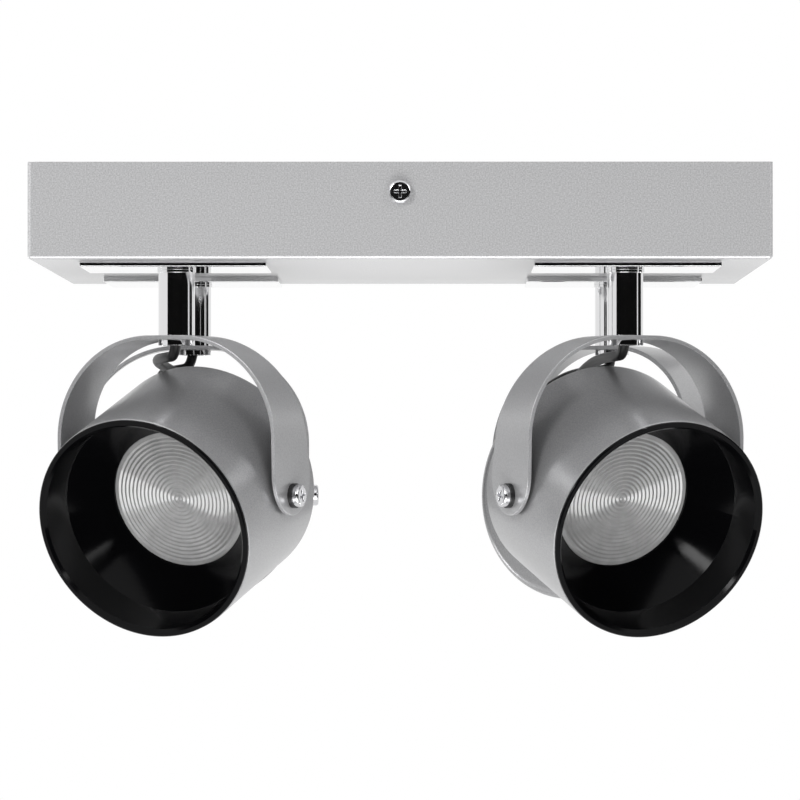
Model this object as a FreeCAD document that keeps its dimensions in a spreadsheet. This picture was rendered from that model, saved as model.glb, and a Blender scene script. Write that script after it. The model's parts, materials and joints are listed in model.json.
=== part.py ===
import FreeCAD
import Part
import Sketcher
import math
import os
import re

# A fixture with four pivoting spots: a square sheet-metal box that is fixed to a ceiling, and under
# each of its corners a square plate, a short stem, a U-shaped yoke and a round lamp head.
# Millimetres, +Z up, origin at the centre of the face that meets the ceiling, -Y is the front.

SIZES = (
    # how far a cutting piece runs past the piece that it cuts
    ("overrun", 1),
    # square box: a folded cover, open at the top, over a mounting bracket
    ("base_width", 260),
    ("base_height", 34),
    ("cover_gauge", 1),
    ("fold_radius", 1.2),
    ("bracket_width", 30),
    ("bracket_gauge", 1.5),
    ("flange_depth", 10),
    ("flange_length", 200),
    ("tab_width", 24),
    ("tab_depth", 18),
    ("slot_width", 5.2),
    ("slot_length", 14),
    ("slot_spacing", 170),
    # pan-head machine screws, one size for the box, the earth and the pivots
    ("shank_diameter", 3.9),
    ("screw_head", 8),
    ("screw_head_height", 2.4),
    ("screw_dome", 0.9),
    ("recess_width", 0.9),
    ("recess_length", 4.2),
    ("recess_depth", 1.3),
    ("thread_play", 0.05),
    ("hole_play", 0.25),
    ("cover_screw_depth", 10.5),
    ("cover_screw_length", 7),
    ("earth_screw_length", 8),
    ("earth_screw_depth", 6),
    ("earth_screw_place", 55),
    # electrics in the box
    ("driver_length", 110),
    ("driver_width", 40),
    ("driver_height", 20),
    ("driver_rounding", 2),
    ("terminal_length", 26),
    ("terminal_width", 17),
    ("terminal_height", 12),
    ("terminal_place", 55),
    ("terminal_bore", 3.4),
    ("terminal_pitch", 7.5),
    ("terminal_wire_depth", 5.7),
    ("terminal_screw_depth", 3),
    ("terminal_screw_inset", 4.25),
    # hanging stack of each spot, from the nut in the box down to the nut under the yoke
    ("spot_offset", 80),
    ("rod_diameter", 10),
    ("rod_bore", 7),
    ("rod_play", 0.1),
    ("rod_stand", 3),
    ("rod_set_in", 0.2),
    ("washer_diameter", 18),
    ("washer_thickness", 1),
    ("nut_flats", 14),
    ("nut_height", 4),
    ("plate_width", 66),
    ("plate_thickness", 2),
    ("plate_bevel", 0.3),
    ("stem_diameter", 13),
    ("stem_length", 23.5),
    ("collar_diameter", 13.8),
    ("collar_height", 1),
    ("ring_nut_diameter", 13),
    ("ring_nut_height", 2),
    # yoke: a bent strap that widens to a round foot at each pivot
    ("yoke_gauge", 1.5),
    ("yoke_edge", 0.25),
    ("arch_radius", 37),
    ("strap_width", 20),
    ("foot_diameter", 28),
    ("foot_rise", 7),
    ("pivot_setback", 5.5),
    ("swing_play", 0.24),
    # lamp head: lengths run from the pivot axis along the head's own axis
    ("head_diameter", 82),
    ("head_front", 32.8),
    ("head_back", 25),
    ("shell_gauge", 1.5),
    ("shell_rounding", 3),
    ("rim_bevel", 0.5),
    ("boss_diameter", 9),
    ("boss_height", 1.8),
    # pivot washers
    ("side_washer", 1),
    ("side_washer_diameter", 9),
    ("cap_washer", 1.5),
    ("cap_washer_diameter", 8.8),
    # baffle
    ("fit_play", 0.1),
    ("lip_height", 1.2),
    ("lip_inset", 0.2),
    ("lip_bevel", 0.4),
    ("lip_width", 1.7),
    ("baffle_gauge", 1.2),
    ("baffle_wall", 13.8),
    ("baffle_depth", 30),
    ("baffle_seat", 1.6),
    # lens, light source and heat sink
    ("lens_diameter", 50.8),
    ("lens_play", 0.2),
    ("lens_rise", 0.8),
    ("lens_flange", 2),
    ("lens_flange_width", 2.6),
    ("lens_skirt", 2),
    ("lens_seat", 4),
    ("ridge_pitch", 1.5),
    ("ridge_depth", 0.35),
    ("lens_edge_break", 0.2),
    ("board_play", 1.5),
    ("board_thickness", 1.6),
    ("chip_diameter", 14),
    ("chip_height", 1),
    ("sink_play", 0.7),
    ("sink_floor", 6),
    ("sink_hub", 18),
    ("sink_cable_room", 11),
    ("fin_gap", 3),
    ("fin_pitch", 6),
    # cable and its grommet
    ("cable_diameter", 3.8),
    ("grommet_neck", 6.4),
    ("grommet_inner_flange", 9),
    ("grommet_inner_height", 1.2),
    ("grommet_outer_flange", 10),
    ("grommet_outer_height", 1.2),
    ("grommet_nose_root", 7.2),
    ("grommet_nose_tip", 5.6),
    ("grommet_nose_length", 3.8),
    ("cable_end", 2.5),
)

# Each spot: name, side in X, side in Y, turn of the yoke about its stem, and the head's tilt below
# level. The cable's free points are in the yoke's frame: x along the pivot, y to the head's back.
SPOTS = (
    ("front_left", -1, -1, -24.9, 20.7,
     ((0, 0, -55), (0, 0, -66.6), (-8, 7, -67), (-17, 17, -67.5), (-22, 30, -69),
      (-20, 43, -73), (-13, 53, -80.5), (-6.5, 58, -90), (-2, 54.5, -101)), 36),
    ("front_right", 1, -1, 26.5, 21.5,
     ((0, 0, -55), (0, 0, -66.2), (1, 10, -66.6), (3, 22, -67), (5, 35, -68.5),
      (6, 47, -73), (5, 56, -80.5), (3, 59, -91), (1, 54.5, -101.5)), 36),
    ("rear_right", 1, 1, 146.6, 4,
     ((0, 0, -55), (0, 0, -67.5), (-2, 11, -69), (-3, 24, -69.5), (-2, 38, -72),
      (1, 50, -78.5), (3, 58, -89), (3, 58.5, -103)), 38),
    ("rear_left", -1, 1, 183, 0,
     ((0, 0, -55), (0, 0, -67.5), (8, 10, -69), (13, 22, -70.5), (12, 36, -74),
      (8, 49, -81), (4, 57, -91.5), (2, 58, -105)), 38),
)

# Leads inside the box, for the right rear corner; the other corners mirror it.
CORNER_LEAD = ((55, 8, -23), (66, 8, -23), (75, 20, -18), (79, 35, -13), (81, 50, -10),
               (81, 65, -9.5), (80, 76, -13), (80, 80, -24), (80.8, 80.5, -35),
               (80, 80, -45), (80, 80, -55))
MAINS_LEAD = ((0, 46.5, -8), (0, 39, -8), (-6, 31, -13), (-16, 29, -18.5),
              (-27, 31, -22), (-36, 29, -23), (-36, 20, -23))

ARC_SHARE = 0.45
TOUCH = 0.001
ROUGH_RADIUS = 20
SWEEP_TOLERANCE = 0.01
ALONG_X = FreeCAD.Rotation(FreeCAD.Vector(0, 1, 0), 90)
ALONG_Y = FreeCAD.Rotation(FreeCAD.Vector(1, 0, 0), -90)
UPRIGHT = FreeCAD.Rotation()

doc = FreeCAD.newDocument("SpotFixture")
sheet = doc.addObject("Spreadsheet::Sheet", "Sizes")
for row, (alias, size) in enumerate(SIZES, 1):
    sheet.set("A%d" % row, str(size))
    sheet.setAlias("A%d" % row, alias)
doc.recompute()
finished = []


def value(alias):
    """The number in a cell of the sheet."""
    return float(sheet.get(alias))


def add(kind, label):
    """A new object of the document under a readable label."""
    made = doc.addObject(kind, re.sub(r"\W", "_", label))
    made.Label = label
    return made


def bind(thing, prop, size):
    """Tie a property to the sheet: every plain word in size is the alias of a cell."""
    thing.setExpression(prop, re.sub(r"\b[a-z]\w*\b(?!\()", r"Sizes.\g<0>", str(size)))


def seat(thing, x=0, y=0, z=0, turn=UPRIGHT):
    """Give an object its place, bound to the sheet."""
    thing.Placement = FreeCAD.Placement(FreeCAD.Vector(), turn)
    for axis, place in zip("xyz", (x, y, z)):
        bind(thing, "Placement.Base." + axis, place)
    return thing


def box(label, length, width, height, x=0, y=0, z=0):
    """Block centred on x and y that stands on z."""
    block = add("Part::Box", label)
    bind(block, "Length", length)
    bind(block, "Width", width)
    bind(block, "Height", height)
    return seat(block, f"{x} - ({length}) / 2", f"{y} - ({width}) / 2", z)


def cylinder(label, diameter, height, x=0, y=0, z=0, turn=UPRIGHT):
    """Cylinder that runs its height from the point given, up or along its turn."""
    drum = add("Part::Cylinder", label)
    bind(drum, "Radius", f"({diameter}) / 2")
    bind(drum, "Height", height)
    return seat(drum, x, y, z, turn)


def fuse(label, *pieces):
    joined = add("Part::MultiFuse", label)
    joined.Shapes = list(pieces)
    return joined


def common(label, *pieces):
    shared = add("Part::MultiCommon", label)
    shared.Shapes = list(pieces)
    return shared


def cut(label, base, *tools):
    rest = add("Part::Cut", label)
    rest.Base = base
    rest.Tool = tools[0] if len(tools) == 1 else fuse(label + " cuts", *tools)
    return rest


def group(label, *pieces):
    """Several separate solids under one name."""
    bundle = add("Part::Compound", label)
    bundle.Links = list(pieces)
    return bundle


def mirror(label, source, normal):
    """The same piece on the other side of a plane through the origin."""
    twin = add("Part::Mirroring", label)
    twin.Source = source
    twin.Normal = normal
    return twin


def outline_sketch(body, plane, points):
    """Closed outline of straight sides on one of the body's own planes, with each corner bound."""
    flat = body.newObject("Sketcher::SketchObject", "Outline")
    role = [face for face in body.Origin.OriginFeatures if face.Role == plane]
    flat.AttachmentSupport = [(role[0], "")]
    flat.MapMode = "FlatFace"
    count = len(points)
    turns = [2 * math.pi * n / count for n in range(count)]
    rough = [FreeCAD.Vector(math.cos(a), math.sin(a), 0) * ROUGH_RADIUS for a in turns]
    for n in range(count):
        flat.addGeometry(Part.LineSegment(rough[n], rough[(n + 1) % count]))
    rules = [Sketcher.Constraint("Coincident", n, 2, (n + 1) % count, 1) for n in range(count)]
    bound = []
    for n, (across, up) in enumerate(points):
        bound.append((len(rules), across))
        rules.append(Sketcher.Constraint("DistanceX", -1, 1, n, 1, rough[n].x))
        bound.append((len(rules), up))
        rules.append(Sketcher.Constraint("DistanceY", -1, 1, n, 1, rough[n].y))
    flat.addConstraint(rules)
    for number, size in bound:
        bind(flat, "Constraints[%d]" % number, size)
    return flat


def lathe(label, outline):
    """Turned piece about Z, from an outline of radius and height."""
    body = add("PartDesign::Body", label)
    half = outline_sketch(body, "XZ_Plane", outline)
    turned = body.newObject("PartDesign::Revolution", "Turned")
    turned.Profile = half
    turned.ReferenceAxis = (half, ["V_Axis"])
    turned.Angle = 360
    doc.recompute()
    return body


def slab(label, plane, outline, thickness):
    """Flat piece on one of the origin planes, as thick as given."""
    body = add("PartDesign::Body", label)
    flat = outline_sketch(body, plane, outline)
    thick = body.newObject("PartDesign::Pad", "Thick")
    thick.Profile = flat
    bind(thick, "Length", thickness)
    return body


def rim(shape, height):
    """Name of the longest edge that lies level at a height."""
    level = []
    for number, edge in enumerate(shape.Edges, 1):
        ends = (edge.BoundBox.ZMin - height, edge.BoundBox.ZMax - height)
        if max(abs(end) for end in ends) < TOUCH:
            level.append((edge.Length, "Edge%d" % number))
    return max(level)[1]


def round_rim(body, radius, height):
    """Round the outer edge of a turned piece at a height."""
    soft = body.newObject("PartDesign::Fillet", "Rounded")
    soft.Base = (body.Group[-2], [rim(body.Shape, height)])
    bind(soft, "Radius", radius)
    doc.recompute()


def edge_round(kind, label, source, size, chosen):
    """Fillet or chamfer the edges of a solid that a test picks out."""
    doc.recompute()
    soft = add(kind, label)
    soft.Base = source
    numbered = enumerate(source.Shape.Edges, 1)
    soft.Edges = [(number, size, size) for number, edge in numbered if chosen(edge)]
    return soft


def finish(piece, placement=None):
    """Keep a sub-part for the hand-over, and put it in its place."""
    if placement:
        piece.Placement = placement
    finished.append(piece)
    return piece


def rounded_path(points):
    """Straight runs joined by tangent arcs, each as large as its two runs allow."""
    edges = []
    radii = []
    last = points[0]
    for before, corner, after in zip(points, points[1:], points[2:]):
        back = (before - corner).normalize()
        ahead = (after - corner).normalize()
        half_turn = (math.pi - back.getAngle(ahead)) / 2
        reach = ARC_SHARE * min((before - corner).Length, (after - corner).Length)
        radius = reach / math.tan(half_turn)
        inward = (back + ahead).normalize()
        middle = corner + inward * (radius / math.cos(half_turn) - radius)
        start = corner + back * reach
        end = corner + ahead * reach
        edges.append(Part.LineSegment(last, start).toShape())
        edges.append(Part.Arc(start, middle, end).toShape())
        radii.append(radius)
        last = end
    edges.append(Part.LineSegment(last, points[-1]).toShape())
    return Part.Wire(edges), radii


def tube(label, route):
    """Round cable along a route, checked against its section times its length."""
    points = [FreeCAD.Vector(*point) for point in route]
    path, radii = rounded_path(points)
    width = value("cable_diameter")
    section = Part.Wire(Part.makeCircle(width / 2, points[0], points[1] - points[0]))
    swept = path.makePipeShell([section], True, False)
    expected = math.pi * width ** 2 / 4 * path.Length
    if abs(swept.Volume / expected - 1) > SWEEP_TOLERANCE:
        raise ValueError("%s is not a clean tube" % label)
    print("%s: %.0f mm long, radii %s" % (label, path.Length, ["%.1f" % r for r in radii]))
    cable = add("Part::Feature", label)
    cable.Shape = swept
    return cable


def pan_screw(label, length):
    """Pan-head screw on Z, head up from zero, with a cross recess."""
    blank = lathe(label + " blank", (
        (0, f"-({length})"), ("shank_diameter / 2", f"-({length})"), ("shank_diameter / 2", 0),
        ("screw_head / 2", 0), ("screw_head / 2", "screw_head_height"), (0, "screw_head_height")))
    round_rim(blank, "screw_dome", value("screw_head_height"))
    floor = "screw_head_height - recess_depth"
    slots = (box(label + " slot", "recess_length", "recess_width", "recess_depth", z=floor),
             box(label + " cross slot", "recess_width", "recess_length", "recess_depth", z=floor))
    return cut(label, blank, *slots)


# Heights of the hanging stack, from the box down to the pivot axis.
PLATE_UNDER = "(-base_height - plate_thickness)"
YOKE_TOP = "(-base_height - plate_thickness - stem_length)"
RING_UNDER = "(-base_height - plate_thickness - stem_length - yoke_gauge - ring_nut_height)"
# The pivot hangs low enough for the whole head to swing clear of the nut under the yoke.
HEAD_REACH = "sqrt(pow(head_diameter / 2; 2) + pow(head_front + lip_height; 2))"
PIVOT_HEIGHT = f"({RING_UNDER} - {HEAD_REACH} - swing_play)"


def pivot_height():
    stack = ("base_height", "plate_thickness", "stem_length", "yoke_gauge", "ring_nut_height")
    reach = math.hypot(value("head_diameter") / 2, value("head_front") + value("lip_height"))
    return -sum(value(part) for part in stack) - reach - value("swing_play")


# ---------------------------------------------------------------- the square box

def base_cover():
    """Folded tray, open at the top, with a hole for each rod and for each cover screw."""
    block = box("cover block", "base_width", "base_width", "base_height", z="-base_height")
    folded = edge_round("Part::Fillet", "cover folds", block, value("fold_radius"),
                        lambda edge: edge.BoundBox.ZMin < -TOUCH)
    room = box("cover room", "base_width - 2 * cover_gauge", "base_width - 2 * cover_gauge",
               "base_height", z="cover_gauge - base_height")
    holes = [cylinder("cover rod hole", "rod_diameter + 2 * rod_play", "3 * cover_gauge",
                      f"{side} * spot_offset", f"{depth} * spot_offset",
                      "-base_height - cover_gauge")
             for side in (-1, 1) for depth in (-1, 1)]
    holes.append(cylinder("cover screw hole", "shank_diameter + 2 * hole_play",
                          "2 * base_width", 0, "-base_width", "-cover_screw_depth", ALONG_Y))
    finish(cut("base_cover", folded, room, *holes))


def mounting_bracket():
    """Channel strap with turned-down ends that take the cover screws."""
    inside = "base_width - 2 * cover_gauge"
    web = box("bracket web", "bracket_width", inside, "bracket_gauge", z="-bracket_gauge")
    parts = [web]
    for side in (-1, 1):
        parts.append(box("bracket flange", "bracket_gauge", "flange_length", "flange_depth",
                         f"{side} * (bracket_width - bracket_gauge) / 2", 0, "-flange_depth"))
        parts.append(box("bracket tab", "tab_width", "bracket_gauge", "tab_depth", 0,
                         f"{side} * (base_width / 2 - cover_gauge - bracket_gauge / 2)",
                         "-tab_depth"))
    strap = fuse("bracket strap", *parts)
    deep = "3 * bracket_gauge"
    low = "-2 * bracket_gauge"
    cuts = [cylinder("bracket screw holes", "shank_diameter + 2 * thread_play", "2 * base_width",
                     0, "-base_width", "-cover_screw_depth", ALONG_Y),
            cylinder("bracket earth hole", "shank_diameter + 2 * thread_play", "bracket_width",
                     0, "-earth_screw_place", "-earth_screw_depth", ALONG_X)]
    for side in (-1, 1):
        middle = f"{side} * slot_spacing / 2"
        cuts.append(box("bracket slot", "slot_width", "slot_length - slot_width", deep,
                        0, middle, low))
        for end in (-1, 1):
            cuts.append(cylinder("bracket slot end", "slot_width", deep, 0,
                                 f"{middle} + {end} * (slot_length - slot_width) / 2", low))
    finish(cut("mounting_bracket", strap, *cuts))


def cover_screws():
    """One screw in the front wall and one in the back wall, both into the bracket."""
    front = pan_screw("front cover screw", "cover_screw_length")
    seat(front, 0, "-base_width / 2", "-cover_screw_depth",
         FreeCAD.Rotation(FreeCAD.Vector(1, 0, 0), 90))
    back = mirror("back cover screw", front, FreeCAD.Vector(0, 1, 0))
    finish(group("cover_screws", front, back))


def earth_screw():
    screw = pan_screw("earth_screw", "earth_screw_length")
    finish(seat(screw, "bracket_width / 2", "-earth_screw_place", "-earth_screw_depth", ALONG_X))


def led_driver():
    """Closed case that stands on the floor of the cover."""
    case = box("driver block", "driver_length", "driver_width", "driver_height",
               z="cover_gauge - base_height")
    tall = value("driver_height") - TOUCH
    finish(edge_round("Part::Fillet", "led_driver", case, value("driver_rounding"),
                      lambda edge: edge.BoundBox.ZLength > tall))


def terminal_block():
    """Three-way block under the bracket's web, with its wire bores and clamp screw bores."""
    low = "-bracket_gauge - terminal_height"
    body = box("terminal body", "terminal_length", "terminal_width", "terminal_height",
               0, "terminal_place", low)
    bores = []
    for way in (-1, 0, 1):
        across = f"{way} * terminal_pitch"
        bores.append(cylinder("terminal wire bore", "terminal_bore",
                              "terminal_wire_depth + overrun", across,
                              "terminal_place + terminal_width / 2 - terminal_wire_depth",
                              "-bracket_gauge - terminal_height / 2", ALONG_Y))
        bores.append(cylinder("terminal screw bore", "terminal_bore",
                              "terminal_screw_depth + overrun", across,
                              "terminal_place - terminal_screw_inset", f"{low} - overrun"))
    finish(cut("terminal_block", body, *bores))


def driver_leads():
    """Four leads from the driver into the rods, and the lead from the terminal block."""
    leads = [tube("mains lead", MAINS_LEAD)]
    for side in (-1, 1):
        for depth in (-1, 1):
            route = [(side * x, depth * y, z) for x, y, z in CORNER_LEAD]
            leads.append(tube("corner lead %d %d" % (side, depth), route))
    finish(group("driver_leads", *leads))


def rod_fastenings():
    """Threaded hollow rods with the washer and nut in the box and the ring nut under the yoke."""
    rods, washers, nuts, rings = [], [], [], []
    floor = "cover_gauge - base_height"
    top = f"{floor} + washer_thickness + nut_height + rod_stand"
    for side in (-1, 1):
        for depth in (-1, 1):
            place = (f"{side} * spot_offset", f"{depth} * spot_offset")
            length = f"{top} - {RING_UNDER} - rod_set_in"
            low = f"{RING_UNDER} + rod_set_in"
            rods.append(ring("rod", "rod_diameter", "rod_bore", length, *place, low))
            washers.append(ring("rod washer", "washer_diameter", "rod_diameter + 2 * rod_play",
                                "washer_thickness", *place, floor))
            rings.append(ring("ring nut", "ring_nut_diameter", "rod_diameter + 2 * thread_play",
                              "ring_nut_height", *place, RING_UNDER))
            nuts.append(hex_nut(*place, f"{floor} + washer_thickness"))
    for label, pieces in (("hollow_rods", rods), ("rod_washers", washers),
                          ("rod_nuts", nuts), ("flange_nuts", rings)):
        finish(group(label, *pieces))


def ring(label, outer, inner, height, x=0, y=0, z=0, turn=UPRIGHT):
    """Plain tube or washer."""
    solid = cylinder(label + " solid", outer, height, x, y, z, turn)
    bore = cylinder(label + " bore", inner, height, x, y, z, turn)
    return cut(label, solid, bore)


def hex_nut(x, y, z):
    blank = add("Part::Prism", "hex nut blank")
    blank.Polygon = 6
    bind(blank, "Circumradius", "nut_flats / sqrt(3)")
    bind(blank, "Height", "nut_height")
    seat(blank, x, y, z)
    bore = cylinder("hex nut bore", "rod_diameter + 2 * thread_play", "nut_height", x, y, z)
    return cut("hex nut", blank, bore)


# ---------------------------------------------------------------- plate, stem and yoke

def rosette_plate(name, x, y):
    """Square plate against the underside of the cover, with its edges broken."""
    blank = box(name + " plate blank", "plate_width", "plate_width", "plate_thickness",
                x, y, PLATE_UNDER)
    broken = edge_round("Part::Chamfer", name + " plate bevel", blank, value("plate_bevel"),
                        lambda edge: True)
    hole = cylinder(name + " plate hole", "rod_diameter + 2 * rod_play", "plate_thickness",
                    x, y, PLATE_UNDER)
    finish(cut("rosette_plate_" + name, broken, hole))


def stem(name, x, y):
    """Turned tube over the rod, with a collar where it meets the plate."""
    bore = "rod_diameter / 2 + rod_play"
    tubular = lathe("stem_" + name, (
        (bore, "-stem_length"), ("stem_diameter / 2", "-stem_length"),
        ("stem_diameter / 2", "-collar_height"), ("collar_diameter / 2", "-collar_height"),
        ("collar_diameter / 2", 0), (bore, 0)))
    finish(seat(tubular, x, y, PLATE_UNDER))


def arch_block(label, inset, width):
    """Round-shouldered block that the yoke is bent round, smaller all over by an inset."""
    half = f"(head_diameter / 2 + side_washer + yoke_gauge - {inset})"
    radius = f"(arch_radius - {inset})"
    shoulder = f"({YOKE_TOP} - arch_radius)"
    flat = f"({half} - {radius})"
    drop = f"({shoulder} - {PIVOT_HEIGHT} + 2 * foot_diameter)"
    legs = box(label + " legs", f"2 * {half}", width, drop, 0, 0, f"{shoulder} - {drop}")
    crown = box(label + " crown", f"2 * {flat}", width, radius, 0, 0, shoulder)
    corners = [cylinder(label + " shoulder", f"2 * {radius}", width, f"{side} * {flat}",
                        f"-({width}) / 2", shoulder, ALONG_Y) for side in (-1, 1)]
    return fuse(label, legs, crown, *corners)


def yoke(name, placement):
    """Bent strap: flat under the stem, round at the shoulders, wider towards its round feet."""
    span = "head_diameter + 2 * side_washer + 2 * yoke_gauge"
    wide = "4 * foot_diameter"
    bent = cut(name + " yoke strap", arch_block(name + " yoke outside", "0", wide),
               arch_block(name + " yoke inside", "yoke_gauge", f"{wide} + foot_diameter"))
    foot = f"({PIVOT_HEIGHT} + foot_rise)"
    front, back = "(pivot_setback - foot_diameter / 2)", "(pivot_setback + foot_diameter / 2)"
    taper = slab(name + " yoke taper", "YZ_Plane", (
        ("-strap_width / 2", YOKE_TOP), (front, foot), (back, foot),
        ("strap_width / 2", YOKE_TOP)), f"{span} + 2 * overrun")
    seat(taper, f"-({span}) / 2 - overrun")
    feet = cylinder(name + " yoke feet", "foot_diameter", f"{span} + 2 * overrun",
                    f"-({span}) / 2 - overrun", "pivot_setback", foot, ALONG_X)
    side_view = fuse(name + " yoke side view", taper, feet)
    rod_hole = cylinder(name + " yoke rod hole", "rod_diameter + 2 * rod_play",
                        "3 * yoke_gauge", 0, 0, f"{YOKE_TOP} - 2 * yoke_gauge")
    pivot_holes = cylinder(name + " yoke pivot holes", "shank_diameter + 2 * rod_play",
                           f"{span} + 2 * overrun", f"-({span}) / 2 - overrun",
                           "pivot_setback", PIVOT_HEIGHT, ALONG_X)
    shaped = common(name + " yoke shaped", bent, side_view)
    broken = edge_round("Part::Fillet", name + " yoke edges", shaped, value("yoke_edge"),
                        lambda edge: True)
    finish(cut("yoke_" + name, broken, rod_hole, pivot_holes), placement)


# ---------------------------------------------------------------- lamp head, on its own axis

def head_shell(name, placement):
    """Round can with a closed back, a rounded back edge and an inner boss at each pivot."""
    inner = "(head_diameter / 2 - shell_gauge)"
    can = lathe(name + " can", (
        ("grommet_neck / 2", "-head_back"), ("head_diameter / 2", "-head_back"),
        ("head_diameter / 2", "head_front - rim_bevel"),
        ("head_diameter / 2 - rim_bevel", "head_front"), (inner, "head_front"),
        (inner, "shell_gauge - head_back"), ("grommet_neck / 2", "shell_gauge - head_back")))
    round_rim(can, "shell_rounding", -value("head_back"))
    bosses = [cylinder(name + " boss", "boss_diameter", "boss_height + shell_gauge / 2",
                       f"{start} * ({inner} - boss_height)", 0, 0, turn)
              for start, turn in ((1, ALONG_X), (-1, ALONG_X.inverted()))]
    joined = fuse(name + " can with bosses", can, *bosses)
    pivots = cylinder(name + " pivot bore", "shank_diameter + 2 * thread_play",
                      "2 * head_diameter", "-head_diameter", 0, 0, ALONG_X)
    finish(cut("head_shell_" + name, joined, pivots), placement)


def baffle(name, placement):
    """Black inner ring: a lip on the rim, a deep wall and a cone down to the lens."""
    wall = "(head_diameter / 2 - shell_gauge - fit_play)"
    lip = "(head_diameter / 2 - lip_inset)"
    top = "(head_front + lip_height)"
    knee = "(head_front - baffle_wall)"
    base = "(head_front - baffle_depth)"
    edge = "(lens_diameter / 2 + lens_play)"
    ring_shape = lathe("baffle_" + name, (
        (f"{lip} - lip_width", top), (f"{lip} - lip_bevel", top), (lip, f"{top} - lip_bevel"),
        (lip, "head_front"), (wall, "head_front"), (wall, f"{knee} + baffle_gauge / 2"),
        (f"{wall} - baffle_gauge", knee), (f"{edge} + baffle_seat", base), (edge, base),
        (edge, f"{base} + baffle_gauge"), (f"{wall} - 2 * baffle_gauge", knee),
        (f"{wall} - baffle_gauge", f"{top} - lip_height")))
    finish(ring_shape, placement)


def lens(name, placement):
    """Moulded lens with concentric ridges in front and a skirt that stands on the heat sink."""
    edge = "(lens_diameter / 2)"
    seat_top = "(head_front - baffle_depth)"
    face = f"({seat_top} + lens_rise)"
    flange = f"({edge} + lens_flange_width)"
    skirt = f"({flange} - lens_skirt)"
    under = f"({seat_top} - lens_flange)"
    ridges = int((value("lens_diameter") / 2 - value("lens_edge_break")) / value("ridge_pitch"))
    front = [(0, face)]
    for number in range(ridges):
        front.append((f"{number + 0.5} * ridge_pitch", f"{face} - ridge_depth"))
        front.append((f"{number + 1} * ridge_pitch", face))
    outline = front + [
        (edge, f"{face} - lens_edge_break"), (edge, seat_top), (flange, seat_top),
        (flange, "-lens_seat"), (skirt, "-lens_seat"), (skirt, under), (0, under)]
    finish(lathe("lens_" + name, outline), placement)


def led_board(name, placement):
    """Round board with the light source in its middle, flat on the heat sink."""
    edge = "(lens_diameter / 2 + lens_flange_width - lens_skirt - board_play)"
    face = "(board_thickness - lens_seat)"
    finish(lathe("led_board_" + name, (
        (0, "-lens_seat"), (edge, "-lens_seat"), (edge, face), ("chip_diameter / 2", face),
        ("chip_diameter / 2", f"{face} + chip_height"), (0, f"{face} + chip_height"))), placement)


def heat_sink(name, placement):
    """Cast block against the back wall, with straight fins round a hub and room for the cable."""
    outer = "(head_diameter / 2 - shell_gauge - boss_height - sink_play)"
    back = "(shell_gauge - head_back)"
    height = f"(-lens_seat - {back})"
    blank = cylinder(name + " sink blank", f"2 * {outer}", height, 0, 0, back)
    fins = int(value("head_diameter") / 2 / value("fin_pitch"))
    gaps = [box(name + " fin gap", "fin_gap", "head_diameter", f"{height} - sink_floor",
                f"{number} * fin_pitch", 0, back) for number in range(1 - fins, fins)]
    hub = ring(name + " sink hub", "sink_hub", "sink_cable_room",
               f"{height} - sink_floor", 0, 0, back)
    finned = cut(name + " sink fins", blank, *gaps)
    room = cylinder(name + " sink cable room", "sink_cable_room",
                    f"{height} - sink_floor", 0, 0, back)
    finish(cut("heat_sink_" + name, fuse(name + " sink with hub", finned, hub), room), placement)


def pivot_fasteners(name, placement):
    """The two pan-head pivot screws, and a washer on each side of the yoke's feet."""
    leg = "(head_diameter / 2 + side_washer + yoke_gauge)"
    reach = f"({leg} + cap_washer - head_diameter / 2 + shell_gauge + boss_height)"
    screw = pan_screw(name + " pivot screw", reach)
    seat(screw, f"{leg} + cap_washer", 0, 0, ALONG_X)
    across = FreeCAD.Vector(1, 0, 0)
    finish(group("pivot_screws_" + name, screw, mirror(name + " left screw", screw, across)),
           placement)
    bore = "shank_diameter + 2 * hole_play"
    cap = ring(name + " cap washer", "cap_washer_diameter", bore, "cap_washer",
               leg, 0, 0, ALONG_X)
    side = ring(name + " side washer", "side_washer_diameter", bore, "side_washer",
                "head_diameter / 2", 0, 0, ALONG_X)
    finish(group("pivot_washers_" + name, cap, side, mirror(name + " left cap", cap, across),
                 mirror(name + " left side", side, across)), placement)


def cable_grommet(name, placement):
    """Rubber bush in the back wall, with a short nose round the cable."""
    bore = "cable_diameter / 2 + thread_play"
    inside = "(shell_gauge - head_back)"
    outside = "(-head_back - grommet_outer_height)"
    finish(lathe("cable_grommet_" + name, (
        (bore, f"{outside} - grommet_nose_length"),
        ("grommet_nose_tip / 2", f"{outside} - grommet_nose_length"),
        ("grommet_nose_root / 2", outside), ("grommet_outer_flange / 2", outside),
        ("grommet_outer_flange / 2", "-head_back"), ("grommet_neck / 2", "-head_back"),
        ("grommet_neck / 2", inside), ("grommet_inner_flange / 2", inside),
        ("grommet_inner_flange / 2", f"{inside} + grommet_inner_height"),
        (bore, f"{inside} + grommet_inner_height"))), placement)


def cable(name, placement, head, points, straight):
    """Cable from the rod's bore, round behind the head and into the grommet on its axis."""
    into_head = placement.inverse() * head
    inside = value("head_back") - value("shell_gauge") - value("cable_end")
    ends = [into_head * FreeCAD.Vector(0, 0, -along) for along in (straight, inside)]
    finish(tube("cable_" + name, list(points) + [tuple(end) for end in ends]), placement)


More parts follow.
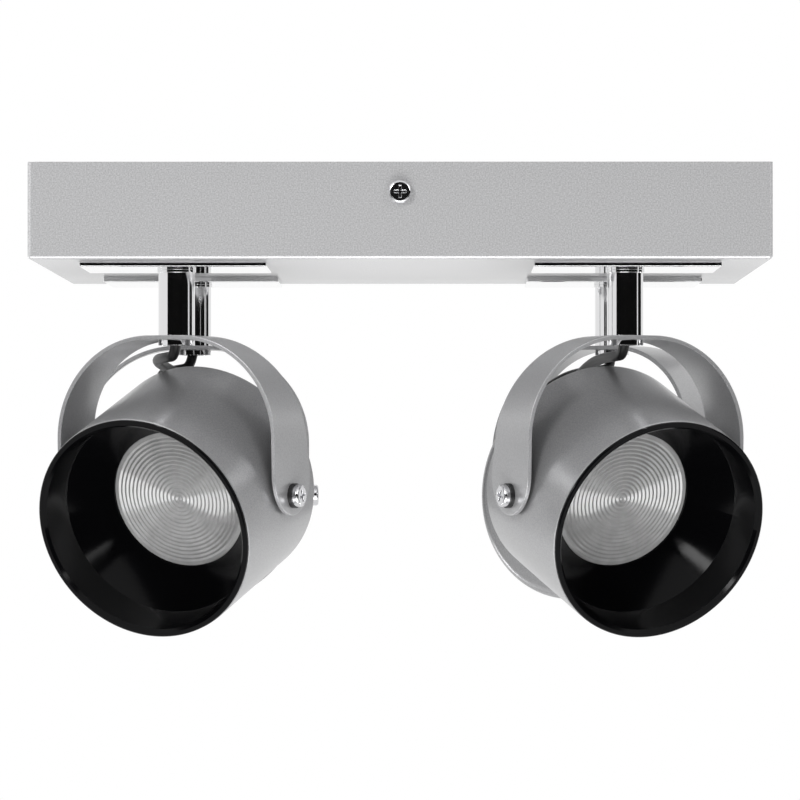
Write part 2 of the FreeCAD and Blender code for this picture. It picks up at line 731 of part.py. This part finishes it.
def spot(name, side, depth, turn, tilt, points, straight):
    """One spot: plate, stem, yoke, cable and head, turned and tilted as it rests."""
    x, y = f"{side} * spot_offset", f"{depth} * spot_offset"
    rosette_plate(name, x, y)
    stem(name, x, y)
    offset = value("spot_offset")
    swivel = FreeCAD.Placement(FreeCAD.Vector(side * offset, depth * offset, 0),
                               FreeCAD.Rotation(FreeCAD.Vector(0, 0, 1), turn))
    pivot = FreeCAD.Placement(FreeCAD.Vector(0, value("pivot_setback"), pivot_height()),
                              FreeCAD.Rotation(FreeCAD.Vector(1, 0, 0), 90 + tilt))
    head = swivel * pivot
    yoke(name, swivel)
    for piece in (head_shell, baffle, lens, led_board, heat_sink, pivot_fasteners,
                  cable_grommet):
        piece(name, head)
    cable(name, swivel, head, points, straight)


for make in (base_cover, mounting_bracket, cover_screws, earth_screw, led_driver,
             terminal_block, driver_leads, rod_fastenings):
    make()
for layout in SPOTS:
    spot(*layout)

doc.recompute()
for thing in doc.Objects:
    if {"Invalid", "Error"} & set(thing.State):
        raise ValueError("%s failed: %s" % (thing.Label, thing.State))
for piece in finished:
    if piece.Shape.isNull() or not piece.Shape.isValid():
        raise ValueError("%s has no valid shape" % piece.Label)

os.makedirs("parts", exist_ok=True)
for piece in finished:
    piece.Shape.exportStep("parts/%s.step" % piece.Label)
print("%d sub-parts written" % len(finished))
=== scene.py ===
import json
import bpy
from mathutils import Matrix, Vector


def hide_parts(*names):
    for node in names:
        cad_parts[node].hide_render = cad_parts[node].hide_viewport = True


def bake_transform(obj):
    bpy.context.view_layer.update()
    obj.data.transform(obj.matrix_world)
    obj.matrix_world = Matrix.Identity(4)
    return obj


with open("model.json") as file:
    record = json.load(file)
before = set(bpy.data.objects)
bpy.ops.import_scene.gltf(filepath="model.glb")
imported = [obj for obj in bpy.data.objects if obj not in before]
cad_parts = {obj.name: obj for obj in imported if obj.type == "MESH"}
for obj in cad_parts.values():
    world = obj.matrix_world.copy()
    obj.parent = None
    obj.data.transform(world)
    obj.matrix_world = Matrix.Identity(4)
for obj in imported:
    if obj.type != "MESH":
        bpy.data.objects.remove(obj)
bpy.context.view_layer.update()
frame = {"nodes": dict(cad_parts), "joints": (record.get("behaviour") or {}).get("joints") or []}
SPOTS = ("front_left", "front_right", "rear_right", "rear_left")
MM = 0.001

# ---------------------------------------------------------------- camera
# A long lens from 2.26 m away, level with the lamp heads and aimed slightly up, so that the
# underside of the box shows as a thin slope.
LENS = 275.3
SENSOR_WIDTH = 36
CAMERA_PLACE = (0.0117, -2.262, -0.1138)
CAMERA_DIRECTION = (-33.6, 6117, 88)
camera = bpy.data.objects.new("camera", bpy.data.cameras.new("camera"))
bpy.context.scene.collection.objects.link(camera)
camera.data.lens = LENS
camera.data.sensor_width = SENSOR_WIDTH
camera.data.clip_end = 60
camera.location = CAMERA_PLACE
camera.rotation_euler = Vector(CAMERA_DIRECTION).to_track_quat("-Z", "Y").to_euler()
bpy.context.scene.camera = camera

# ---------------------------------------------------------------- cables
# Black round cable with a soft PVC sheath, 3.8 mm across. Each comes down through the hollow rod,
# out under the yoke, loops behind its head and goes into the grommet in the back wall.


def linear(code, alpha=1.0):
    """sRGB hex to the linear colour that a shader takes."""
    parts = [int(code[n:n + 2], 16) / 255 for n in (1, 3, 5)]
    curve = [c / 12.92 if c <= 0.04045 else ((c + 0.055) / 1.055) ** 2.4 for c in parts]
    return (*curve, alpha)


def add_node(tree, kind, settings=None, inputs=None):
    """One node with its settings; an input is a value or another node's output."""
    node = tree.nodes.new(kind)
    for name, value in (settings or {}).items():
        setattr(node, name, value)
    for socket, value in (inputs or {}).items():
        if isinstance(value, bpy.types.NodeSocket):
            tree.links.new(value, node.inputs[socket])
        else:
            node.inputs[socket].default_value = value
    return node


def new_material(name):
    """Empty material with its output: gives the material, its tree and the output node."""
    material = bpy.data.materials.new(name)
    material.use_nodes = True
    material.node_tree.nodes.clear()
    output = material.node_tree.nodes.new("ShaderNodeOutputMaterial")
    return material, material.node_tree, output


def object_noise(tree, size_mm, detail=2.0):
    """Noise in the object's own metres whose grains are as wide as given."""
    place = add_node(tree, "ShaderNodeTexCoord")
    return add_node(tree, "ShaderNodeTexNoise", inputs={
        "Vector": place.outputs["Object"], "Scale": 1 / (size_mm * MM), "Detail": detail})


def pvc_sheath():
    """Soft PVC, extruded: black, a little glossy, with a faint long unevenness."""
    material, tree, output = new_material("soft_pvc_sheath")
    wave = object_noise(tree, 9)
    bump = add_node(tree, "ShaderNodeBump", inputs={
        "Height": wave.outputs["Fac"], "Strength": 0.15, "Distance": 0.2 * MM})
    skin = add_node(tree, "ShaderNodeBsdfPrincipled", inputs={
        "Base Color": linear("#101011"), "Roughness": 0.42, "Normal": bump.outputs["Normal"]})
    tree.links.new(skin.outputs["BSDF"], output.inputs["Surface"])
    return material


CABLE_WIDTH = 3.8
CURVE_STEPS = 10  # mesh rings for each point of a route
# Points in each yoke's own millimetres: x along the pivot, y to the back of the head, z up.
CABLE_ROUTES = {
    "front_left": ((0, 0, -55), (0, 0, -66.6), (-8, 7, -67), (-17, 17, -67.5), (-22, 30, -69),
                   (-20, 43, -73), (-13, 53, -80.5), (-6.5, 58, -90), (-2, 54.5, -101),
                   (0, 39.18, -103.78), (0, 25.14, -109.08)),
    "front_right": ((0, 0, -55), (0, 0, -66.2), (1, 10, -66.6), (3, 22, -67), (5, 35, -68.5),
                    (6, 47, -73), (5, 56, -80.5), (3, 59, -91), (1, 54.5, -101.5),
                    (0, 39, -103.31), (0, 25.04, -108.81)),
    "rear_right": ((0, 0, -55), (0, 0, -67.5), (-2, 11, -69), (-3, 24, -69.5), (-2, 38, -72),
                   (1, 50, -78.5), (3, 58, -89), (3, 58.5, -103), (0, 43.41, -113.85),
                   (0, 26.45, -115.04)),
    "rear_left": ((0, 0, -55), (0, 0, -67.5), (8, 10, -69), (13, 22, -70.5), (12, 36, -74),
                  (8, 49, -81), (4, 57, -91.5), (2, 58, -105), (0, 43.5, -116.5),
                  (0, 26.5, -116.5)),
}
LOOP_START = -80  # height in the yoke below the loop's crown
joints = {joint["name"]: joint for joint in frame["joints"]}


def from_yoke(spot, point):
    """A point of a yoke's own millimetres, in the row frame's metres."""
    across = Vector(joints["tilt_" + spot]["axis"])
    up = Vector((0, 0, 1))
    foot = Vector(joints["swivel_" + spot]["pos_m"])
    foot.z = 0
    x, y, z = (c * MM for c in point)
    return foot + across * x + up.cross(across) * y + up * z


def cable_mesh(name, points, width):
    """Tube mesh round one smooth spline, and the points that the spline runs through."""
    curve = bpy.data.curves.new(name, "CURVE")
    curve.dimensions = "3D"
    spline = curve.splines.new("NURBS")
    spline.points.add(len(points) - 1)
    for knot, point in zip(spline.points, points):
        knot.co = (*point, 1)
    spline.order_u = 3
    spline.use_endpoint_u = True
    curve.resolution_u = CURVE_STEPS
    holder = bpy.data.objects.new(name + "_line", curve)
    bpy.context.scene.collection.objects.link(holder)
    line = bpy.data.meshes.new_from_object(holder)
    path = [tuple(vertex.co) for vertex in line.vertices]
    curve.bevel_depth = width / 2
    curve.bevel_resolution = 6
    curve.use_fill_caps = True
    bpy.context.view_layer.update()
    tube = bpy.data.meshes.new_from_object(
        holder.evaluated_get(bpy.context.evaluated_depsgraph_get()))
    bpy.data.objects.remove(holder)
    tube.name = name
    for face in tube.polygons:
        face.use_smooth = True
    return tube, path


sheath = pvc_sheath()
for spot in SPOTS:
    route = [from_yoke(spot, point) for point in CABLE_ROUTES[spot]]
    mesh, path = cable_mesh("cable_" + spot, route, CABLE_WIDTH * MM)
    cable = bpy.data.objects.new("flex_" + spot, mesh)
    bpy.context.scene.collection.objects.link(cable)
    cable.data.materials.clear()
    cable.data.materials.append(sheath)
    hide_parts("cable_" + spot)
    # two points in the row frame, at the loop's start height and at the grommet's level; nothing
    # uses them
    grommet_level = CABLE_ROUTES[spot][-2][2]
    from_yoke(spot, (0, 0, LOOP_START))
    from_yoke(spot, (0, 0, grommet_level))
    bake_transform(cable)

# ---------------------------------------------------------------- base cover
# Square box of folded 1 mm steel sheet, open at the top, held by one screw in the front wall and
# one in the rear wall. Sprayed with a metallic silver lacquer whose flakes show as a fine grain.


def dress(node, material):
    """Give a CAD node its finish."""
    for place in frame["nodes"][node].material_slots:
        place.material = material


def metallic_lacquer(name, light, dark, roughness):
    """Aluminium-flake lacquer, sprayed: satin metal with lighter and darker flakes."""
    material, tree, output = new_material(name)
    # the flakes are under 0.1 mm; 0.5 mm is the finest grain that the render shows
    flakes = object_noise(tree, 0.5, detail=3)
    tone = add_node(tree, "ShaderNodeMix", {"data_type": "RGBA"}, {
        "Factor": flakes.outputs["Fac"], 6: linear(dark), 7: linear(light)})
    peel = object_noise(tree, 1.4)
    bump = add_node(tree, "ShaderNodeBump", inputs={
        "Height": peel.outputs["Fac"], "Strength": 0.12, "Distance": 0.05 * MM})
    skin = add_node(tree, "ShaderNodeBsdfPrincipled", inputs={
        "Base Color": tone.outputs[2], "Metallic": 0.55, "Roughness": roughness,
        "Coat Weight": 0.5, "Coat Roughness": 0.18, "Normal": bump.outputs["Normal"]})
    tree.links.new(skin.outputs["BSDF"], output.inputs["Surface"])
    return material


dress("base_cover", metallic_lacquer("silver_lacquer_on_box", "#e8e8e9", "#868688", 0.4))

# ---------------------------------------------------------------- cover, pivot and earth screws
# M4 pan-head machine screws with a cross recess, of steel with bright nickel plating.
WIPED_GLOSS, WORN_GLOSS = 0.7, 1.4  # shares of a polish's roughness, from bright to dull


def polished_metal(name, colour, roughness, wear_mm, edge_mm):
    """Plated metal, polished: mirror-like, with faint wipes in its gloss and soft edges."""
    material, tree, output = new_material(name)
    wipes = object_noise(tree, wear_mm, detail=4)
    gloss = add_node(tree, "ShaderNodeMapRange", inputs={
        "Value": wipes.outputs["Fac"],
        "To Min": roughness * WIPED_GLOSS, "To Max": roughness * WORN_GLOSS})
    soft = add_node(tree, "ShaderNodeBevel", {"samples": 6}, {"Radius": edge_mm * MM})
    skin = add_node(tree, "ShaderNodeBsdfPrincipled", inputs={
        "Base Color": linear(colour), "Metallic": 1.0, "Roughness": gloss.outputs["Result"],
        "Normal": soft.outputs["Normal"]})
    tree.links.new(skin.outputs["BSDF"], output.inputs["Surface"])
    return material


nickel = polished_metal("bright_nickel_plate", "#d2d2d4", 0.14, 2, 0.35)
dress("cover_screws", nickel)
dress("earth_screw", nickel)
for spot in SPOTS:
    dress("pivot_screws_" + spot, nickel)

# ---------------------------------------------------------------- bracket, rods, nuts and washers
# Zinc-plated steel out of sight in the box: the slotted bracket, the hollow threaded rods, their
# hexagon nuts and plain washers. Dull, blue-grey and a little blotchy.


def zinc_plate():
    """Electroplated zinc, passivated: dull grey with cloudy patches."""
    material, tree, output = new_material("zinc_plated_steel")
    clouds = object_noise(tree, 6, detail=5)
    tone = add_node(tree, "ShaderNodeMix", {"data_type": "RGBA"}, {
        "Factor": clouds.outputs["Fac"], 6: linear("#9a9da0"), 7: linear("#c0c2c2")})
    skin = add_node(tree, "ShaderNodeBsdfPrincipled", inputs={
        "Base Color": tone.outputs[2], "Metallic": 1.0, "Roughness": 0.45})
    tree.links.new(skin.outputs["BSDF"], output.inputs["Surface"])
    return material


zinc = zinc_plate()
for node in ("mounting_bracket", "hollow_rods", "rod_nuts", "rod_washers"):
    dress(node, zinc)

# ---------------------------------------------------------------- driver, terminal block, leads
# The electrics on the floor of the box: a moulded white driver case, a natural nylon terminal
# block and black leads that go down through the rods.


def moulded_plastic(name, colour, roughness, grain_mm):
    """Injection-moulded thermoplastic: even colour, fine spark-eroded grain."""
    material, tree, output = new_material(name)
    grain = object_noise(tree, grain_mm, detail=3)
    bump = add_node(tree, "ShaderNodeBump", inputs={
        "Height": grain.outputs["Fac"], "Strength": 0.2, "Distance": 0.05 * MM})
    skin = add_node(tree, "ShaderNodeBsdfPrincipled", inputs={
        "Base Color": linear(colour), "Roughness": roughness,
        "Normal": bump.outputs["Normal"]})
    tree.links.new(skin.outputs["BSDF"], output.inputs["Surface"])
    return material


dress("led_driver", moulded_plastic("white_abs_case", "#e4e4e1", 0.45, 0.6))
dress("terminal_block", moulded_plastic("natural_nylon", "#dcdad2", 0.4, 0.8))
dress("driver_leads", sheath)

# ---------------------------------------------------------------- plates, stems and ring nuts
# Chrome-plated turned brass stems with a collar, chrome square plates flat against the box, and
# the round nut that closes each rod under its yoke. Clean mirror finish.
chrome = polished_metal("bright_chrome_plate", "#dededf", 0.05, 12, 0.2)
dress("flange_nuts", chrome)
for spot in SPOTS:
    dress("rosette_plate_" + spot, chrome)
    dress("stem_" + spot, chrome)

# ---------------------------------------------------------------- yokes
# Steel strap 1.5 mm thick, blanked with round feet and bent round a former, in the same silver
# lacquer as the box, given darker flake colours as painted shade on the yokes. Its cut edges are
# broken and catch the light.
# flake colours darker than the box's: painted shade, not a different lacquer
yoke_lacquer_painted_shade = metallic_lacquer("silver_lacquer_painted_shade_on_yoke", "#b8b8b9", "#8e8e90", 0.36)
for spot in SPOTS:
    dress("yoke_" + spot, yoke_lacquer_painted_shade)

# ---------------------------------------------------------------- head shells
# Deep-drawn round cans with a rounded back edge, lacquered silver over the whole outside. The
# flake colours are darker than on the box and the yokes, as painted shade on the heads.
# flake colours darker than the box's and the yokes': painted shade, not a different lacquer
head_lacquer_painted_shade = metallic_lacquer("silver_lacquer_painted_shade_on_head", "#acacad", "#7a7a7c", 0.35)
for spot in SPOTS:
    dress("head_shell_" + spot, head_lacquer_painted_shade)

# ---------------------------------------------------------------- baffles
# Turned ring with a lip over the shell's rim, a deep wall and a cone down to the lens, in black
# gloss enamel that mirrors the lens in soft rings.


def black_enamel():
    """Stoved enamel: deep black under a clear gloss, with slight orange peel."""
    material, tree, output = new_material("black_gloss_enamel")
    peel = object_noise(tree, 3)
    bump = add_node(tree, "ShaderNodeBump", inputs={
        "Height": peel.outputs["Fac"], "Strength": 0.1, "Distance": 0.1 * MM})
    skin = add_node(tree, "ShaderNodeBsdfPrincipled", inputs={
        "Base Color": linear("#050506"), "Roughness": 0.12, "Specular IOR Level": 0.12,
        "Normal": bump.outputs["Normal"]})
    tree.links.new(skin.outputs["BSDF"], output.inputs["Surface"])
    return material


enamel = black_enamel()
for spot in SPOTS:
    dress("baffle_" + spot, enamel)

# ---------------------------------------------------------------- lenses
# Moulded acrylic disc with concentric ridges 1.5 mm apart; the back is frosted, so the unlit
# lens reads as a pale grey disc with rings and a fan of highlights.


def frosted_acrylic():
    """PMMA, moulded and frosted behind: milky, glossy in front."""
    material, tree, output = new_material("frosted_acrylic")
    haze = object_noise(tree, 4)
    tone = add_node(tree, "ShaderNodeMix", {"data_type": "RGBA"}, {
        "Factor": haze.outputs["Fac"], 6: linear("#8c8c8c"), 7: linear("#a4a4a4")})
    skin = add_node(tree, "ShaderNodeBsdfPrincipled", inputs={
        "Base Color": tone.outputs[2], "Roughness": 0.25, "IOR": 1.49,
        "Transmission Weight": 0.1, "Coat Weight": 1.0, "Coat Roughness": 0.08})
    tree.links.new(skin.outputs["BSDF"], output.inputs["Surface"])
    return material


acrylic = frosted_acrylic()
for spot in SPOTS:
    dress("lens_" + spot, acrylic)

# ---------------------------------------------------------------- board and heat sink
# Behind the lens: a white-lacquered aluminium board with its light source, on a cast finned block.
solder_resist = moulded_plastic("white_solder_resist", "#ecebe6", 0.35, 1)


def cast_aluminium():
    """Die-cast aluminium, as cast: pale, with a fine matt skin."""
    material, tree, output = new_material("die_cast_aluminium")
    skin_grain = object_noise(tree, 0.8, detail=4)
    bump = add_node(tree, "ShaderNodeBump", inputs={
        "Height": skin_grain.outputs["Fac"], "Strength": 0.3, "Distance": 0.08 * MM})
    skin = add_node(tree, "ShaderNodeBsdfPrincipled", inputs={
        "Base Color": linear("#c2c3c5"), "Metallic": 1.0, "Roughness": 0.5,
        "Normal": bump.outputs["Normal"]})
    tree.links.new(skin.outputs["BSDF"], output.inputs["Surface"])
    return material


casting = cast_aluminium()
for spot in SPOTS:
    dress("led_board_" + spot, solder_resist)
    dress("heat_sink_" + spot, casting)

# ---------------------------------------------------------------- pivot washers and grommets
# Black nylon washers on both sides of each yoke foot, and a matt rubber bush round the cable.
nylon = moulded_plastic("black_nylon", "#161617", 0.4, 0.5)
rubber = moulded_plastic("black_rubber", "#18181a", 0.75, 0.4)
for spot in SPOTS:
    dress("pivot_washers_" + spot, nylon)
    dress("cable_grommet_" + spot, rubber)

# ---------------------------------------------------------------- studio
# Pale floor well below the hanging fixture, a white surround that metal and gloss also show, and
# soft lamps in front of it and below it. Dark panels outside the photograph's view, behind the
# camera, at the right and low in front, give metal and gloss their dark stripes.
FLOOR_DEPTH = -0.6
FLOOR_GLOW = 0.85  # share of plain white in what the camera and the metal see of the floor
AMBIENT = 0.55  # strength of the surround's light on matt surfaces; 1 is white
WHITE = "#ffffff"
PANEL_COLOUR = "#161616"
PANEL_AIM = (0, 0, 0.2)
PANELS = (
    ("panel_front", (0.15, -3.6, 0.2), (12.4, 3.4)),
    ("panel_right", (3.4, -2.1, 0.2), (3.0, 3.4)),
    ("panel_far_right", (3.4, 0.75, 0.2), (1.9, 3.4)),
    ("panel_low_left", (-0.75, -0.75, -0.58), (0.8, 0.9)),
    ("panel_low_right", (0.75, -0.75, -0.58), (0.8, 0.9)))


def plain_card(name, centre, size, facing, colour, shades=True):
    """Flat stage card of a plain matt colour, turned to face a point.

    With shades=False it casts no shadow and takes no light from matt surfaces, so that only
    metal and gloss show it.
    """
    mesh = bpy.data.meshes.new(name)
    w, h = size[0] / 2, size[1] / 2
    mesh.from_pydata([(-w, -h, 0), (w, -h, 0), (w, h, 0), (-w, h, 0)], [], [(0, 1, 2, 3)])
    card = bpy.data.objects.new(name, mesh)
    bpy.context.scene.collection.objects.link(card)
    card.location = centre
    away = Vector(facing) - Vector(centre)
    card.rotation_euler = away.to_track_quat("Z", "Y").to_euler()
    card.visible_diffuse = shades
    card.visible_shadow = shades
    material, tree, output = new_material(name + "_paint")
    paint = add_node(tree, "ShaderNodeBsdfDiffuse", inputs={"Color": linear(colour)})
    tree.links.new(paint.outputs["BSDF"], output.inputs["Surface"])
    mesh.materials.append(material)
    return tree, paint, output


def shining_floor():
    """Floor that the camera and the metal see as white, and that still takes a shadow."""
    tree, paint, output = plain_card(
        "floor", (0, 1.5, FLOOR_DEPTH), (9, 9), (0, 1.5, 9), "#f4f4f4")
    rays = add_node(tree, "ShaderNodeLightPath")
    seen = add_node(tree, "ShaderNodeMath", {"operation": "MAXIMUM"}, {
        0: rays.outputs["Is Camera Ray"], 1: rays.outputs["Is Glossy Ray"]})
    glow = add_node(tree, "ShaderNodeEmission", inputs={"Color": linear(WHITE), "Strength": 1.0})
    share = add_node(tree, "ShaderNodeMath", {"operation": "MULTIPLY"}, {
        0: seen.outputs[0], 1: FLOOR_GLOW})
    both = add_node(tree, "ShaderNodeMixShader", inputs={
        0: share.outputs[0], 1: paint.outputs["BSDF"], 2: glow.outputs["Emission"]})
    tree.links.new(both.outputs["Shader"], output.inputs["Surface"])


shining_floor()
for name, centre, size in PANELS:
    plain_card(name, centre, size, PANEL_AIM, PANEL_COLOUR, shades=False)

world = bpy.data.worlds.new("studio")
bpy.context.scene.world = world
world.use_nodes = True
sky = world.node_tree
sky.nodes.clear()
rays = add_node(sky, "ShaderNodeLightPath")
mirrored = add_node(sky, "ShaderNodeMath", {"operation": "MAXIMUM"}, {
    0: rays.outputs["Is Camera Ray"], 1: rays.outputs["Is Glossy Ray"]})
shown = add_node(sky, "ShaderNodeMath", {"operation": "MAXIMUM"}, {
    0: mirrored.outputs[0], 1: rays.outputs["Is Transmission Ray"]})
level = add_node(sky, "ShaderNodeMapRange", inputs={
    "Value": shown.outputs[0], "To Min": AMBIENT, "To Max": 1.0})
glow = add_node(sky, "ShaderNodeBackground", inputs={
    "Color": linear(WHITE), "Strength": level.outputs["Result"]})
end = sky.nodes.new("ShaderNodeOutputWorld")
sky.links.new(glow.outputs["Background"], end.inputs["Surface"])


def soft_lamp(name, place, aim, size, watts):
    """Square soft box at a place in the frame, turned to a point."""
    lamp = bpy.data.lights.new(name, "AREA")
    lamp.shape = "SQUARE"
    lamp.size = size
    lamp.energy = watts
    holder = bpy.data.objects.new(name, lamp)
    bpy.context.scene.collection.objects.link(holder)
    holder.location = place
    holder.rotation_euler = (Vector(aim) - Vector(place)).to_track_quat("-Z", "Y").to_euler()


HEADS_LEVEL = (0, 0, -0.1)
RIMS_LEVEL = (0, 0, -0.12)
soft_lamp("key", (-1.6, -2.2, 1.1), HEADS_LEVEL, 1.0, 38)
soft_lamp("fill", (1.9, -1.8, 1.0), HEADS_LEVEL, 1.2, 18)
soft_lamp("below", (0, -0.4, -0.56), HEADS_LEVEL, 0.5, 4.0)
soft_lamp("low_left", (-1.2, 0.3, -0.54), RIMS_LEVEL, 0.35, 4.0)
soft_lamp("low_right", (1.2, 0.3, -0.54), RIMS_LEVEL, 0.35, 4.0)
bpy.context.scene.view_settings.view_transform = "Standard"
